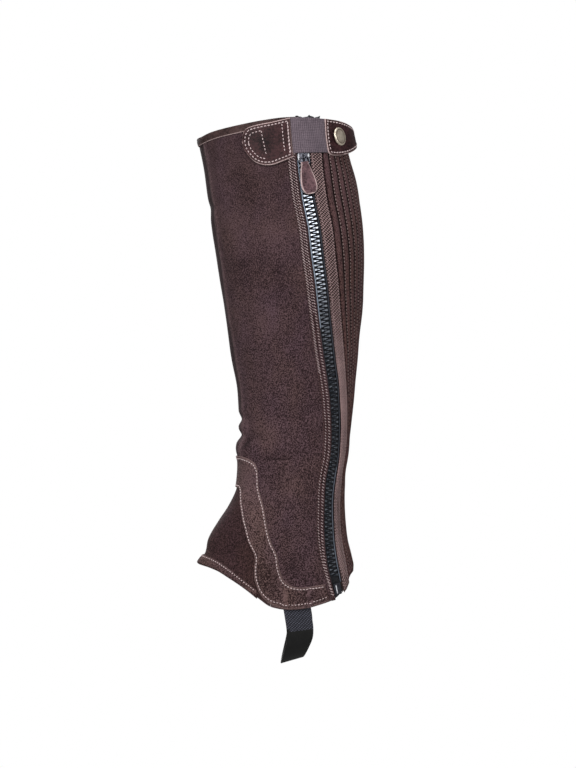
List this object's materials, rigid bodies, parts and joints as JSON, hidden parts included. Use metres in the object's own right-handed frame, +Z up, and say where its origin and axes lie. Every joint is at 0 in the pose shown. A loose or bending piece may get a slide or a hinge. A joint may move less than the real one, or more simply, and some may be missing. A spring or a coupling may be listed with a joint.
{
  "type": "suede half chap",
  "caption": "Knee-length suede half chap with a side zip, ribbed stretch back, snap tab at the rim and an elastic strap under the foot.",
  "frame": {"origin": "middle of the hollow leg at the fullest part of the calf, where the wearer's leg fills it", "axes": "+Z up the leg to the knee, -Y to the toe, +X to the outer side of the left leg, where the zip is"},
  "size_m": [0.1176, 0.1473, 0.4772],
  "materials": {
    "suede": "dark chocolate suede with a short brushed nap",
    "suede_dark": "the same suede, darker over the instep",
    "stretch_suede": "suede ribs on elastic, with light dotted stitching in the grooves",
    "binding_leather": "smooth brown leather turned over the rim",
    "twill_tape": "pinkish brown twill tape",
    "zip_tape": "black woven zip tape",
    "zip_metal": "chunky bright teeth that darken towards the ankle",
    "dark_metal": "gunmetal",
    "elastic": "taupe woven elastic",
    "strap_elastic": "black woven elastic",
    "tab_leather": "brown leather with pale cut edges",
    "brass": "antique brass, plain"
  },
  "bodies": {
    "chap": {"outer_panel": "suede", "inner_panel": "suede", "stretch_panel": "stretch_suede", "instep_panel": "suede_dark", "ankle_overlay": "suede", "rim_binding": "binding_leather", "hem_binding": "suede_dark", "zip_tape_front": "zip_tape", "zip_tape_back": "zip_tape", "zip_chain": "zip_metal", "zip_facing_front": "suede", "zip_facing_back": "twill_tape", "zip_slider": "dark_metal", "zip_box": "dark_metal", "closure_tab": "tab_leather", "closure_elastic": "elastic", "snap_tab": "tab_leather", "snap_cap": "brass", "foot_strap": "strap_elastic"},
    "pull": {"pull_ring": "dark_metal", "pull_tab": "tab_leather"}
  },
  "joints": [
    {"name": "pull_swing", "type": "hinge", "parent": "chap", "child": "pull", "pos_m": [0.05454, 0.01182, 0.07586], "axis": [0.2859, -0.9394, -0.1893], "range_deg": [0, 120]}
  ]
}
